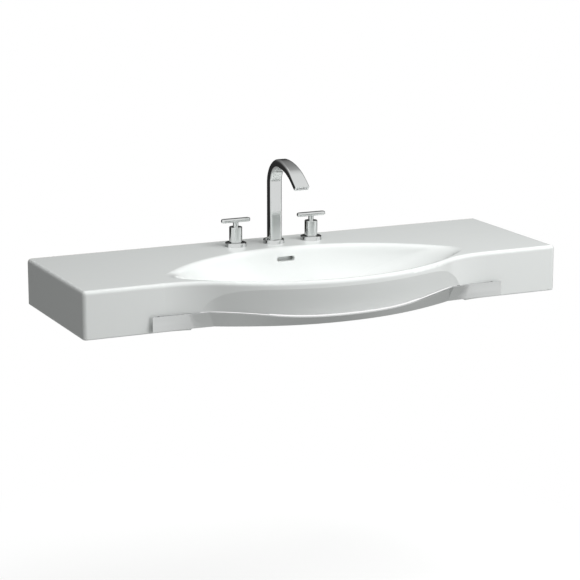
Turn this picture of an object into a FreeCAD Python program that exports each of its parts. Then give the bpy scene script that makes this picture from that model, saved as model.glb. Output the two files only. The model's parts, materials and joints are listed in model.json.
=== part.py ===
import FreeCAD, Part
import math
import os

# Wall-hung washbasin, 1200 mm wide, with a bowed front, a chromed towel rail, a three-hole tap set
# and a push-open waste. All sizes are in millimetres.
# The origin lies on the wall plane, midway between the two fixing holes.
# X runs along the wall, the front faces -Y and Z is up.

# Basin block
basin_width = 1200.0
end_depth = 386.0
block_height = 110.0
bow_depth = 124.0
bow_radius = 515.0
bow_half_span = 408.0
edge_radius = 9.0
foot_edge_radius = 3.0
side_wall = 13.0
back_wall = 16.0
bow_wall = 27.0
deck_thickness = 14.0
fixing_height = 62.0
fixing_spacing = 280.0
fixing_hole_radius = 10.0
fixing_boss_radius = 24.0
fixing_boss_depth = 10.0

# Hollow under the rim of the bow, and the lip below it
cove_depth = 11.0
cove_top_drop = 16.0
cove_height = 64.0
cove_edge_angle = 9.0
cove_half_span = 330.0
cove_end_power = 10
cove_end_overrun_share = 0.03
cove_stations = 20
cove_levels = 14
lip_end_gap = 6.0
lip_end_top_share = 0.38
lip_clearance = 0.6
towel_slot_half_span = 190.0
towel_slot_height = 1.4

# Bowl
bowl_depth = 86.0
bowl_back_gap = 133.0
bowl_back_radius = 470.0
rim_width = 22.0
bowl_tip_radius = 20.0
bowl_tip_growth = 130.0
bowl_tip_power = 0.35
bowl_wall = 11.0
bowl_edge_radius = 12.0
bowl_edge_steps = 5
bowl_wall_power = 4.0
bowl_floor_power = 0.65
bowl_fall_shares = (0.0, 0.06, 0.14, 0.23, 0.34, 0.46, 0.6, 0.74, 0.86, 0.94, 0.985)

# Waste hole and its seat
drain_from_wall = 253.0
drain_hole_radius = 23.0
drain_seat_radius = 33.0
drain_seat_depth = 4.0
drain_boss_radius = 38.0
drain_boss_height = 28.0

# Overflow
slot_width = 46.0
slot_height = 11.0
slot_drop = 27.0
slot_run_in = 12.0
duct_gap = 8.0
duct_wall = 7.0
duct_width = 54.0

# Towel rail
rail_thickness = 3.0
rail_standoff = 10.0
rail_plate_foot = 5.0
rail_plate_height = 34.5
rail_plate_length = 82.0
rail_fold_top_run = 50.5
rail_fold_foot_run = 48.0
rail_bend_top_inset = 97.0
rail_bend_foot_inset = 110.0
rail_bend_top_reach = 20.5
rail_bend_foot_reach = 15.0
rail_crest_top_setback = 6.0
rail_crest_foot_setback = 35.0
rail_crest_top_drop = 14.0
rail_crest_foot_drop = 1.5
rail_crest_spread = 1.7
rail_crest_power = 3.0
rail_stations = 13
rail_stud_radius = 3.0
rail_stud_end_gap = 18.5
rail_stud_spacing = 17.5
rail_spacer_radius = 7.0
rail_washer_radius = 8.0
rail_washer_thickness = 2.0
rail_nut_flats = 10.0
rail_nut_height = 5.0
rail_stud_spare = 3.0
stud_clearance = 1.0

# Tap set
tap_from_wall = 68.0
tap_spacing = 100.0
tap_hole_radius = 17.5
ring_foot_radius = 26.5
ring_top_radius = 25.5
ring_height = 9.5
ring_floor_top = 4.0
ring_recess_radius = 17.5
ring_edge_radius = 2.0
seal_radius = 23.0
seal_thickness = 1.5
barrel_radius = 13.2
fit_clearance = 0.05
running_clearance = 0.5
clamp_washer_radius = 24.0
clamp_washer_thickness = 2.0
clamp_plate_thickness = 2.0
barrel_nut_flats = 36.0
barrel_nut_height = 8.0

# Valves
valve_depth = 70.0
cartridge_radius = 9.0
cartridge_top = 18.0
cartridge_foot = 34.0
cartridge_chamber_radius = 7.5
disc_radius = 7.2
disc_thickness = 3.0
disc_port_radius = 2.6
disc_gap = 0.05
spindle_radius = 4.0
spindle_plate_thickness = 3.0
inlet_bore_radius = 6.0
inlet_thread_radius = 10.4775
inlet_thread_length = 14.0
branch_drop = 44.0
branch_radius = 8.0
branch_reach = 25.0
branch_bore_radius = 5.0

# Handles
handle_radius = 15.6
handle_top = 47.0
handle_edge_radius = 0.8
handle_cavity_radius = 12.5
handle_cavity_top = 22.0
handle_socket_top = 42.0
neck_radius = 6.5
neck_height = 11.0
bar_length = 75.0
bar_depth = 15.0
bar_thickness = 9.5
neck_socket_depth = 4.0
bar_edge_radius = 3.6
grub_screw_radius = 2.5
grub_screw_length = 9.0
grub_screw_key_radius = 1.2
grub_screw_drop = 14.0

# Spout
spout_set_forward = 4.5
spout_column_top = 148.7
spout_back_radius = 52.0
spout_front_radius = 140.0
spout_front_angle = 38.5
spout_end_run = 20.5
spout_outlet_tilt = 50.0
spout_column_width = 32.0
spout_outlet_width = 36.5
spout_column_thickness = 28.0
spout_crown_thickness = 22.5
spout_outlet_thickness = 12.5
spout_column_corner = 8.0
spout_outlet_corner = 2.2
spout_wall = 2.2
spout_foot_height = 26.0
spout_recess_radius = 21.4
spout_back_steps = 6
spout_front_steps = 4
shank_nose_radius = 7.0
shank_nose_height = 18.0
shank_bore_radius = 5.0
shank_depth = 40.0
tee_radius = 16.0
tee_top_drop = 33.0
tee_depth = 56.0
former_length = 5.0
former_seat_depth = 0.5
former_slot_count = 7
former_slot_width = 1.6

# Pipes between the valves and the spout
link_pipe_radius = 4.9
link_pipe_wall = 1.0
link_nut_flats = 22.0
link_nut_length = 14.0
link_nut_overlap = 9.0

# Push-open waste
waste_flange_radius = 31.5
waste_flange_thickness = 2.8
waste_seal_thickness = 1.5
waste_thread_radius = 20.955
waste_bore_radius = 17.5
waste_length = 48.0
waste_groove_width = 1.0
waste_groove_depth = 0.8
waste_slot_width = 16.0
waste_slot_count = 4
waste_nut_radius = 29.0
waste_nut_height = 8.0
waste_nut_lug_count = 8
waste_nut_lug_radius = 3.0
waste_gasket_thickness = 2.5
waste_gasket_radius = 30.0
plug_radius = 28.5
plug_thickness = 5.0
plug_crown = 1.6
plug_neck_radius = 15.5
plug_neck_height = 3.0
plug_ring_radius = 1.4
stem_radius = 4.0
stem_length = 40.0
guide_drop = 36.0
guide_height = 12.0
guide_hub_radius = 7.5
guide_rim_width = 3.0
guide_arm_width = 3.5
guide_arm_count = 3

# Overrun that takes every cut clear of the face it starts from, and the degree of the smooth lofts
overrun = 2.0
loft_degree = 3

deck_z = block_height - fixing_height
underside_z = -fixing_height
front_y = -end_depth
crest_y = front_y - bow_depth
drain_y = -drain_from_wall
tap_y = -tap_from_wall
spout_y = tap_y - spout_set_forward
floor_z = deck_z - bowl_depth
duct_drop = bowl_wall + duct_gap
link_z = deck_z - branch_drop
rail_front_y = front_y - rail_standoff - rail_thickness
rail_foot_z = underside_z + rail_plate_foot
rail_top_z = rail_foot_z + rail_plate_height
rail_bend_top_half_span = bow_half_span - rail_bend_top_inset
rail_bend_foot_half_span = bow_half_span - rail_bend_foot_inset
rail_fold_top_half_span = rail_bend_top_half_span + rail_fold_top_run
rail_fold_foot_half_span = rail_bend_foot_half_span + rail_fold_foot_run
rail_outer_half_span = rail_fold_top_half_span + rail_plate_length
lip_half_span = rail_fold_foot_half_span + lip_end_gap
outlet_face_angle = spout_outlet_tilt - 90.0

PARTS = "parts"
UP = FreeCAD.Vector(0, 0, 1)
ALONG_X = FreeCAD.Vector(1, 0, 0)
TO_WALL = FreeCAD.Vector(0, 1, 0)


def vec(x, y, z):
    return FreeCAD.Vector(x, y, z)


def save(shape, name):
    shape.exportStep(os.path.join(PARTS, name + ".step"))


def closed_face(edges):
    return Part.Face(Part.Wire(edges))


def polygon_wire(points):
    return Part.makePolygon([vec(*p) for p in points] + [vec(*points[0])])


def block(x0, x1, y0, y1, z0, z1):
    return Part.makeBox(x1 - x0, y1 - y0, z1 - z0, vec(x0, y0, z0))


def rod(radius, length, start, direction=UP):
    return Part.makeCylinder(radius, length, start, direction)


def sleeve(outer, inner, length, start, direction=UP):
    core_start = start - direction * overrun
    return rod(outer, length, start, direction).cut(rod(inner, length + 2 * overrun, core_start, direction))


def turned(profile, x, y):
    """A solid of revolution about the vertical through x, y, from (radius, z) points."""
    wire = polygon_wire([(x + r, y, z) for r, z in profile])
    return Part.Face(wire).revolve(vec(x, y, 0), UP, 360)


def hexagon(flats, height, start, direction=UP, bore=0):
    """A hexagon prism from start along direction, with an optional round bore."""
    corner = flats / math.sqrt(3)
    points = [(corner * math.cos(math.radians(60 * i)), corner * math.sin(math.radians(60 * i)), 0)
              for i in range(6)]
    prism = Part.Face(polygon_wire(points)).extrude(UP * height)
    if bore:
        prism = prism.cut(rod(bore, height + 2 * overrun, vec(0, 0, -overrun)))
    prism.Placement = FreeCAD.Placement(start, FreeCAD.Rotation(UP, direction))
    return prism


def group(shapes):
    return Part.makeCompound(shapes)


# Plan of the basin block

def bow_tangent(radius, half_span, depth):
    """Half width and blend radius at which the convex bow meets its concave blends."""
    both_radii = (half_span ** 2 + depth ** 2) / (2 * depth)
    return half_span * radius / both_radii, both_radii - radius


def front_line(x, radius=bow_radius, half_span=bow_half_span, depth=bow_depth, front=front_y):
    """Y of the front face in plan at x."""
    tangent_x, blend = bow_tangent(radius, half_span, depth)
    if abs(x) <= tangent_x:
        return front - depth + radius - math.sqrt(radius ** 2 - x ** 2)
    if abs(x) < half_span:
        return front - blend + math.sqrt(blend ** 2 - (abs(x) - half_span) ** 2)
    return front


def block_plan(half_width, radius, half_span, depth, front, back, z):
    """Closed plan face: straight back and ends, and a front with a bow between two concave blends."""
    tangent_x = bow_tangent(radius, half_span, depth)[0]

    def on_front(x):
        return vec(x, front_line(x, radius, half_span, depth, front), z)

    blend_x = (tangent_x + half_span) / 2
    corners = [vec(half_width, front, z), vec(half_width, back, z), vec(-half_width, back, z),
               vec(-half_width, front, z)]
    edges = [Part.LineSegment(a, b).toShape() for a, b in zip(corners, corners[1:])]
    edges.append(Part.LineSegment(corners[3], on_front(-half_span)).toShape())
    edges.append(Part.Arc(on_front(-half_span), on_front(-blend_x), on_front(-tangent_x)).toShape())
    edges.append(Part.Arc(on_front(-tangent_x), on_front(0), on_front(tangent_x)).toShape())
    edges.append(Part.Arc(on_front(tangent_x), on_front(blend_x), on_front(half_span)).toShape())
    edges.append(Part.LineSegment(on_front(half_span), corners[0]).toShape())
    return closed_face(edges)


# Bowl

def bowl_share(fall):
    """Share of the full plan that is left where the bowl has fallen by a share of its depth."""
    return (1 - fall ** (1 / bowl_floor_power)) ** (1 / bowl_wall_power)


def bowl_wire(fall, growth, depth):
    """Almond plan of the bowl: two flat arcs joined by an arc at each tip, rounder lower down."""
    share = bowl_share(fall)
    tip_radius = bowl_tip_radius + bowl_tip_growth * fall ** bowl_tip_power
    front_radius = bow_radius - rim_width
    back_centre = -bowl_back_gap - bowl_back_radius
    front_centre = crest_y + bow_radius
    reach_back = bowl_back_radius - tip_radius
    reach_front = front_radius - tip_radius
    gap = front_centre - back_centre
    tip_y = (back_centre + front_centre) / 2 + (reach_back ** 2 - reach_front ** 2) / (2 * gap)
    tip_x = math.sqrt(reach_back ** 2 - (tip_y - back_centre) ** 2)
    z = deck_z - depth * fall

    def placed(x, y):
        return vec(x * share, drain_y + (y - drain_y) * share, z)

    def on_arc(centre, radius, side):
        """Point where the tip arc touches the flat arc of this centre."""
        length = radius - tip_radius
        scale = (radius + growth / share) / length
        return placed(side * tip_x * scale, centre + (tip_y - centre) * scale)

    grown = growth / share
    back_mid = placed(0, back_centre + bowl_back_radius + grown)
    front_mid = placed(0, front_centre - front_radius - grown)
    ends = {}
    for side in (1, -1):
        ends[side] = (on_arc(back_centre, bowl_back_radius, side), on_arc(front_centre, front_radius, side),
                      placed(side * (tip_x + tip_radius + grown), tip_y))
    return Part.Wire([Part.Arc(ends[-1][0], back_mid, ends[1][0]).toShape(),
                      Part.Arc(ends[1][0], ends[1][2], ends[1][1]).toShape(),
                      Part.Arc(ends[1][1], front_mid, ends[-1][1]).toShape(),
                      Part.Arc(ends[-1][1], ends[-1][2], ends[-1][0]).toShape()])


def bowl_solid(growth):
    """A skin round the bowl's inside, grown in plan and in depth by the same length."""
    wires = [bowl_wire(fall, growth, bowl_depth + growth) for fall in bowl_fall_shares]
    return Part.makeLoft(wires, True, False)


def bowl_inside():
    """The bowl's inside, with an edge that rolls over into the deck."""
    wires = []
    for i in range(bowl_edge_steps):
        turn = math.pi / 2 * i / bowl_edge_steps
        drop = bowl_edge_radius * (1 - math.cos(turn))
        wires.append(bowl_wire(drop / bowl_depth, bowl_edge_radius * (1 - math.sin(turn)), bowl_depth))
    edge_share = bowl_edge_radius / bowl_depth
    wires += [bowl_wire(fall, 0, bowl_depth) for fall in bowl_fall_shares if fall >= edge_share]
    return Part.makeLoft(wires, True, False)


# Basin

def outer_block():
    plan = block_plan(basin_width / 2, bow_radius, bow_half_span, bow_depth, front_y, 0, underside_z)
    solid = plan.extrude(UP * block_height)
    uprights = [e for e in solid.Edges if abs(e.BoundBox.ZLength - block_height) < fit_clearance
                and abs(abs(e.CenterOfMass.x) - basin_width / 2) < fit_clearance
                and e.CenterOfMass.y < front_y / 2]
    solid = solid.makeFillet(edge_radius, uprights)
    top = [e for e in solid.Edges if e.BoundBox.ZMin > deck_z - fit_clearance
           and e.CenterOfMass.y < -fit_clearance]
    solid = solid.makeFillet(edge_radius, top)
    foot = [e for e in solid.Edges if e.BoundBox.ZMax < underside_z + fit_clearance
            and e.CenterOfMass.y < -fit_clearance]
    return solid.makeFillet(foot_edge_radius, foot)


def inner_cavity():
    """The hollow under the deck, open below."""
    depth = bow_depth + side_wall - bow_wall
    plan = block_plan(basin_width / 2 - side_wall, bow_radius - bow_wall, bow_half_span, depth,
                      front_y + side_wall, -back_wall, underside_z - overrun)
    return plan.extrude(UP * (block_height - deck_thickness + overrun))


def crest_sag(share):
    """Share of the full drop at a share of the half span: one in the middle, none at the ends."""
    turn = math.pi / 2 * min(abs(share), 1) ** rail_crest_spread
    return math.cos(turn) ** rail_crest_power


def cove_inset(fall):
    """How far the hollow lies behind the bow's front at a share of its height, clear of its ends."""
    lean = cove_height * math.tan(math.radians(cove_edge_angle))
    if fall < 0:
        return lean * fall
    if fall > 1:
        return cove_depth
    return cove_depth * fall ** 2 * (3 - 2 * fall) + lean * fall * (1 - fall) ** 2


def cove_tool():
    """Cuts the hollow that runs along the bow between the rim and the lip."""
    top_z = deck_z - edge_radius
    rows = []
    for i in range(-cove_stations, cove_stations + 1):
        share = i / cove_stations * (1 + cove_end_overrun_share)
        x = cove_half_span * share
        row = []
        for level in range(cove_levels + 1):
            z = top_z + (underside_z - overrun - top_z) * level / cove_levels
            inset = cove_inset((deck_z - cove_top_drop - z) / cove_height)
            row.append(vec(x, front_line(x) + inset - cove_depth * abs(share) ** cove_end_power, z))
        rows.append(row)
    surface = Part.BSplineSurface()
    surface.interpolate(rows)
    return surface.toShape().extrude(TO_WALL * -2 * cove_depth)


def lip_line(half_span, rise):
    """Points of the lip's lower edge over a half span, just above the rail's highest edge."""
    points = []
    for i in range(-rail_stations, rail_stations + 1):
        share = i / rail_stations * half_span / rail_bend_top_half_span
        edge_z = band_wire(share).BoundBox.ZMax
        points.append(vec(rail_bend_top_half_span * share, crest_y - overrun, edge_z + lip_clearance + rise))
    return points


def below_line(points, top_half_span, foot_half_span):
    """Everything below a line of points, through the front wall, with ends that may slope outwards."""
    curve = Part.BSplineCurve()
    curve.interpolate(points)
    near_y = crest_y - overrun
    low_z = underside_z - overrun
    left, right = points[0], points[-1]
    corners = [right, vec(top_half_span, near_y, right.z), vec(foot_half_span, near_y, low_z),
               vec(-foot_half_span, near_y, low_z), vec(-top_half_span, near_y, left.z), left]
    pairs = [(a, b) for a, b in zip(corners, corners[1:]) if (a - b).Length > fit_clearance]
    edges = [curve.toShape()] + [Part.LineSegment(a, b).toShape() for a, b in pairs]
    reach = front_line(lip_half_span) + bow_wall - near_y
    return closed_face(edges).extrude(TO_WALL * reach)


def lip_tools():
    """Clear the ceramic below the lip for the rail, and a low slot above it for a towel."""
    top_half_span = rail_bend_top_half_span + rail_fold_top_run * lip_end_top_share
    slot_line = lip_line(towel_slot_half_span, towel_slot_height)
    return [below_line(lip_line(rail_bend_top_half_span, 0), top_half_span, lip_half_span),
            below_line(slot_line, towel_slot_half_span, towel_slot_half_span)]


def stadium(width, height, x, y, z, depth):
    """A slot with round ends, from y towards the wall."""
    half = (width - height) / 2
    parts = [block(x - half, x + half, y, y + depth, z - height / 2, z + height / 2)]
    parts += [rod(height / 2, depth, vec(x + side * half, y, z), TO_WALL) for side in (1, -1)]
    return parts[0].fuse(parts[1:]).removeSplitter()


def duct_zone(half_width, top_z):
    return block(-half_width, half_width, drain_y, -back_wall, floor_z - bowl_depth, top_z)


def overflow_void():
    """Passage behind the bowl's back wall, from the slot down to the waste hole."""
    top_z = deck_z - slot_drop + slot_height
    zone = duct_zone(duct_width / 2, top_z)
    return bowl_solid(duct_drop).common(zone).cut(bowl_solid(bowl_wall))


def overflow_casing():
    top_z = deck_z - deck_thickness / 2
    return bowl_solid(duct_drop + duct_wall).common(duct_zone(duct_width / 2 + duct_wall, top_z))


def slot_tool():
    """From inside the bowl, through its back wall and into the overflow passage."""
    wall_y = drain_y + (drain_from_wall - bowl_back_gap) * bowl_share(slot_drop / bowl_depth)
    depth = slot_run_in + bowl_wall + duct_gap / 2
    return stadium(slot_width, slot_height, 0, wall_y - slot_run_in, deck_z - slot_drop, depth)


def rail_stud_places():
    """X and Z of the studs, one above the other behind each plate."""
    x = rail_outer_half_span - rail_stud_end_gap
    z = (rail_foot_z + rail_top_z) / 2
    return [(side * x, z + level * rail_stud_spacing / 2) for side in (-1, 1) for level in (-1, 1)]


def basin_holes():
    through = deck_thickness + 2 * overrun
    holes = [rod(tap_hole_radius, through, vec(x, tap_y, deck_z - deck_thickness - overrun))
             for x in (-tap_spacing, 0, tap_spacing)]
    wall_run = back_wall + fixing_boss_depth + 2 * overrun
    holes += [rod(fixing_hole_radius, wall_run, vec(side * fixing_spacing / 2, overrun, 0), -TO_WALL)
              for side in (-1, 1)]
    holes += [rod(rail_stud_radius + stud_clearance, side_wall + 2 * overrun, vec(x, front_y - overrun, z),
                  TO_WALL) for x, z in rail_stud_places()]
    waste_run = drain_boss_height + bowl_depth / 2
    holes.append(rod(drain_hole_radius, waste_run, vec(0, drain_y, floor_z - drain_boss_height - overrun)))
    holes.append(rod(drain_seat_radius, bowl_depth / 2, vec(0, drain_y, floor_z - drain_seat_depth)))
    return holes


def basin():
    body = outer_block().cut([inner_cavity(), cove_tool()] + lip_tools())
    boss = rod(drain_boss_radius, drain_boss_height, vec(0, drain_y, floor_z - drain_boss_height))
    fixing_bosses = [rod(fixing_boss_radius, fixing_boss_depth + overrun,
                         vec(side * fixing_spacing / 2, -back_wall + overrun, 0), -TO_WALL)
                     for side in (-1, 1)]
    body = body.fuse([bowl_solid(bowl_wall), overflow_casing(), boss] + fixing_bosses)
    body = body.cut([bowl_inside(), overflow_void(), slot_tool()])
    return body.cut(basin_holes()).removeSplitter()


# Towel rail

def arc_line(x, crest, end, half_span):
    """Y of a circular arc through the crest at zero and the end at the half span."""
    sagitta = end - crest
    radius = (half_span ** 2 + sagitta ** 2) / (2 * sagitta)
    return crest + radius - math.sqrt(radius ** 2 - x ** 2)


def band_edges(share):
    """Foot and top points of the rail's front face at a share of the half span."""
    foot_x = rail_bend_foot_half_span * share
    top_x = rail_bend_top_half_span * share
    foot_y = arc_line(foot_x, crest_y + rail_crest_foot_setback, front_y - rail_bend_foot_reach,
                      rail_bend_foot_half_span)
    top_y = arc_line(top_x, crest_y + rail_crest_top_setback, front_y - rail_bend_top_reach,
                     rail_bend_top_half_span)
    foot_z = rail_foot_z - rail_crest_foot_drop * crest_sag(share)
    top_z = rail_top_z - rail_crest_top_drop * crest_sag(share)
    return vec(foot_x, foot_y, foot_z), vec(top_x, top_y, top_z)


def strip_wire(foot, top, along):
    """Section of the strip: its front edge from foot to top, and its thickness towards the wall."""
    inward = along.cross(top - foot)
    inward.normalize()
    inward = inward * -rail_thickness if inward.y < 0 else inward * rail_thickness
    return Part.makePolygon([foot, top, top + inward, foot + inward, foot])


def band_wire(share):
    """Section of the bowed band at a share of the half span."""
    step = 1 / rail_stations
    foot, top = band_edges(share)
    before = band_edges(max(share - step, -1))[0]
    after = band_edges(min(share + step, 1))[0]
    return strip_wire(foot, top, after - before)


def band():
    wires = [band_wire(i / rail_stations) for i in range(-rail_stations, rail_stations + 1)]
    return Part.makeLoft(wires, True, False)


def rail_end(side):
    """Flat plate and the twisted piece that joins it to the band."""
    fold_foot = vec(side * rail_fold_foot_half_span, rail_front_y, rail_foot_z)
    fold_top = vec(side * rail_fold_top_half_span, rail_front_y, rail_top_z)
    outer_foot = vec(side * rail_outer_half_span, rail_front_y, rail_foot_z)
    outer_top = vec(side * rail_outer_half_span, rail_front_y, rail_top_z)
    plate = Part.Face(Part.makePolygon([fold_foot, outer_foot, outer_top, fold_top, fold_foot]))
    plate = plate.extrude(TO_WALL * rail_thickness)
    fold_wire = strip_wire(fold_foot, fold_top, ALONG_X)
    return [plate, Part.makeLoft([fold_wire, band_wire(side)], True, True)]


def towel_rail():
    return band().fuse(rail_end(-1) + rail_end(1)).removeSplitter()


def rail_fixings():
    """Studs welded behind the plates, their spacers, washers and nuts."""
    plate_back = rail_front_y + rail_thickness
    inner_y = front_y + side_wall
    stud_length = inner_y - plate_back + rail_washer_thickness + rail_nut_height + rail_stud_spare
    bore = rail_stud_radius + fit_clearance
    studs, spacers, washers, nuts = [], [], [], []
    for x, z in rail_stud_places():
        studs.append(rod(rail_stud_radius, stud_length, vec(x, plate_back, z), TO_WALL))
        spacers.append(sleeve(rail_spacer_radius, bore, rail_standoff, vec(x, plate_back, z), TO_WALL))
        washers.append(sleeve(rail_washer_radius, bore, rail_washer_thickness, vec(x, inner_y, z), TO_WALL))
        nut_y = inner_y + rail_washer_thickness
        nuts.append(hexagon(rail_nut_flats, rail_nut_height, vec(x, nut_y, z), TO_WALL, bore))
    save(group(studs), "rail_studs")
    save(group(spacers), "rail_spacers")
    save(group(washers), "rail_washers")
    save(group(nuts), "rail_nuts")


# Parts shared by the three taps

def base_ring(x, recess):
    hole = barrel_radius + fit_clearance
    low = deck_z
    ring = turned([(hole, low + seal_thickness), (seal_radius, low + seal_thickness), (seal_radius, low),
                   (ring_foot_radius, low), (ring_top_radius, low + ring_height),
                   (recess, low + ring_height), (recess, low + ring_floor_top),
                   (hole, low + ring_floor_top)], x, tap_y)
    rim = [e for e in ring.Edges if abs(e.BoundBox.ZMin - low - ring_height) < fit_clearance
           and e.BoundBox.XLength > recess + ring_top_radius]
    return ring.makeFillet(ring_edge_radius, rim[:1])


def under_deck_clamp(x, name):
    """Seal on the deck, then the washer, plate and nut below it that pull the tap down."""
    bore = barrel_radius + fit_clearance
    save(sleeve(seal_radius - fit_clearance, bore, seal_thickness, vec(x, tap_y, deck_z)), name + "_seal")
    washer_z = deck_z - deck_thickness - clamp_washer_thickness
    washer = sleeve(clamp_washer_radius, bore, clamp_washer_thickness, vec(x, tap_y, washer_z))
    plate_z = washer_z - clamp_plate_thickness
    nut_z = plate_z - barrel_nut_height
    plate = sleeve(clamp_washer_radius, bore, clamp_plate_thickness, vec(x, tap_y, plate_z))
    nut = hexagon(barrel_nut_flats, barrel_nut_height, vec(x, tap_y, nut_z), UP, bore)
    save(washer, name + "_washer")
    save(plate, name + "_clamp_plate")
    save(nut, name + "_nut")


# Valves and handles

def valve_body(x, inward):
    """Brass barrel through the deck, with the inlet below and a branch towards the spout."""
    top_z = deck_z + ring_floor_top
    foot_z = deck_z - valve_depth
    thread_top = foot_z + inlet_thread_length
    chamber = cartridge_radius + fit_clearance
    chamber_foot = deck_z - cartridge_foot
    body = turned([(inlet_bore_radius, foot_z), (inlet_thread_radius, foot_z),
                   (inlet_thread_radius, thread_top), (barrel_radius, thread_top), (barrel_radius, top_z),
                   (chamber, top_z), (chamber, chamber_foot), (inlet_bore_radius, chamber_foot)], x, tap_y)
    branch = rod(branch_radius, branch_reach, vec(x, tap_y, link_z), ALONG_X * inward)
    core = rod(inlet_bore_radius, valve_depth, vec(x, tap_y, foot_z))
    bore = rod(branch_bore_radius, branch_reach + overrun, vec(x, tap_y, link_z), ALONG_X * inward)
    body = body.fuse(branch.cut(core))
    return body.cut(bore).removeSplitter()


def disc_ports(x, z, height, angle):
    """Two round ports, opposite each other."""
    turn = math.radians(angle)
    offset = vec(math.cos(turn), math.sin(turn), 0) * (disc_radius / 2)
    centre = vec(x, tap_y, z - overrun)
    return [rod(disc_port_radius, height + 2 * overrun, centre + offset * side) for side in (1, -1)]


def cartridge(x):
    foot_z = deck_z - cartridge_foot
    roof_z = foot_z + 2 * disc_thickness + spindle_plate_thickness + 3 * disc_gap
    bore = spindle_radius + fit_clearance
    return turned([(cartridge_chamber_radius, foot_z), (cartridge_radius, foot_z),
                   (cartridge_radius, deck_z + cartridge_top), (bore, deck_z + cartridge_top),
                   (bore, roof_z), (cartridge_chamber_radius, roof_z)], x, tap_y)


def discs(x, name):
    """Two ported discs, a quarter turn apart, so that the valve is shut at rest."""
    low = deck_z - cartridge_foot
    high = low + disc_thickness + disc_gap
    fixed = rod(cartridge_chamber_radius - fit_clearance, disc_thickness, vec(x, tap_y, low))
    turning = rod(disc_radius, disc_thickness, vec(x, tap_y, high))
    save(fixed.cut(disc_ports(x, low, disc_thickness, 0)), name + "_fixed_disc")
    save(turning.cut(disc_ports(x, high, disc_thickness, 90)), name + "_turning_disc")


def spindle(x):
    low = deck_z - cartridge_foot + 2 * (disc_thickness + disc_gap)
    plate_top = low + spindle_plate_thickness
    top_z = deck_z + handle_socket_top - running_clearance
    return turned([(0, low), (disc_radius, low), (disc_radius, plate_top), (spindle_radius, plate_top),
                   (spindle_radius, top_z), (0, top_z)], x, tap_y)


def handle_body(x):
    low = deck_z + ring_floor_top + running_clearance
    top_z = deck_z + handle_top
    socket = spindle_radius + fit_clearance
    cavity_z = deck_z + handle_cavity_top
    socket_z = deck_z + handle_socket_top
    neck_z = top_z + neck_height + neck_socket_depth
    body = turned([(handle_cavity_radius, low), (handle_radius, low), (handle_radius, top_z),
                   (neck_radius, top_z), (neck_radius, neck_z), (0, neck_z), (0, socket_z),
                   (socket, socket_z), (socket, cavity_z), (handle_cavity_radius, cavity_z)], x, tap_y)
    edge = [e for e in body.Edges if abs(e.BoundBox.ZMin - top_z) < fit_clearance
            and abs(e.BoundBox.XLength - 2 * handle_radius) < fit_clearance]
    body = body.makeFillet(handle_edge_radius, edge)
    return body.cut(grub_hole(x))


def grub_hole(x):
    z = deck_z + handle_socket_top - grub_screw_drop
    return rod(grub_screw_radius + fit_clearance, handle_radius + overrun, vec(x, tap_y, z), TO_WALL)


def grub_screw(x):
    """Socket-head grub screw in the back of the handle, tight on the spindle."""
    z = deck_z + handle_socket_top - grub_screw_drop
    start = tap_y + spindle_radius + fit_clearance
    screw = rod(grub_screw_radius, grub_screw_length, vec(x, start, z), TO_WALL)
    key_depth = grub_screw_length / 3
    key_y = start + grub_screw_length - key_depth
    flats = grub_screw_key_radius * 2
    return screw.cut(hexagon(flats, key_depth + overrun, vec(x, key_y, z), TO_WALL))


def handle_bar(x):
    """Flat bar with round ends, pressed on the neck."""
    foot_z = deck_z + handle_top + neck_height
    half = bar_length / 2
    end = bar_depth / 2
    plan = block(x - half + end, x + half - end, tap_y - end, tap_y + end, foot_z, foot_z + bar_thickness)
    ends = [rod(end, bar_thickness, vec(x + side * (half - end), tap_y, foot_z)) for side in (-1, 1)]
    bar = plan.fuse(ends).removeSplitter()
    bar = bar.makeFillet(bar_edge_radius, [e for e in bar.Edges
                                           if e.BoundBox.ZLength < fit_clearance])
    socket = rod(neck_radius + fit_clearance, neck_socket_depth + overrun, vec(x, tap_y, foot_z - overrun))
    return bar.cut(socket)


def valve_set(side, name):
    x = side * tap_spacing
    save(base_ring(x, ring_recess_radius), name + "_base_ring")
    under_deck_clamp(x, name)
    save(valve_body(x, -side), name + "_valve_body")
    save(cartridge(x), name + "_cartridge")
    discs(x, name)
    save(spindle(x), name + "_spindle")
    save(handle_body(x), name + "_handle_body")
    save(handle_bar(x), name + "_handle_bar")
    save(grub_screw(x), name + "_handle_screw")
    link_pipe(side, name)


# Pipes from the valves to the spout

def link_pipe(side, name):
    """Straight copper pipe between two union nuts."""
    start_x = side * branch_reach
    length = tap_spacing - 2 * branch_reach
    along = ALONG_X * side
    bore = link_pipe_radius - link_pipe_wall
    pipe = sleeve(link_pipe_radius, bore, length, vec(start_x, tap_y, link_z), along)
    hole = branch_radius + fit_clearance
    nuts = []
    for end_x, towards in ((start_x, along), (side * (tap_spacing - branch_reach), -along)):
        nut = hexagon(link_nut_flats, link_nut_length, vec(end_x, tap_y, link_z) - towards * link_nut_overlap,
                      towards, link_pipe_radius + fit_clearance)
        socket_start = vec(end_x, tap_y, link_z) - towards * (link_nut_overlap + overrun)
        nuts.append(nut.cut(rod(hole, link_nut_overlap + overrun, socket_start, towards)))
    save(pipe, name + "_link_pipe")
    save(group(nuts), name + "_link_nuts")


# Spout

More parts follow.
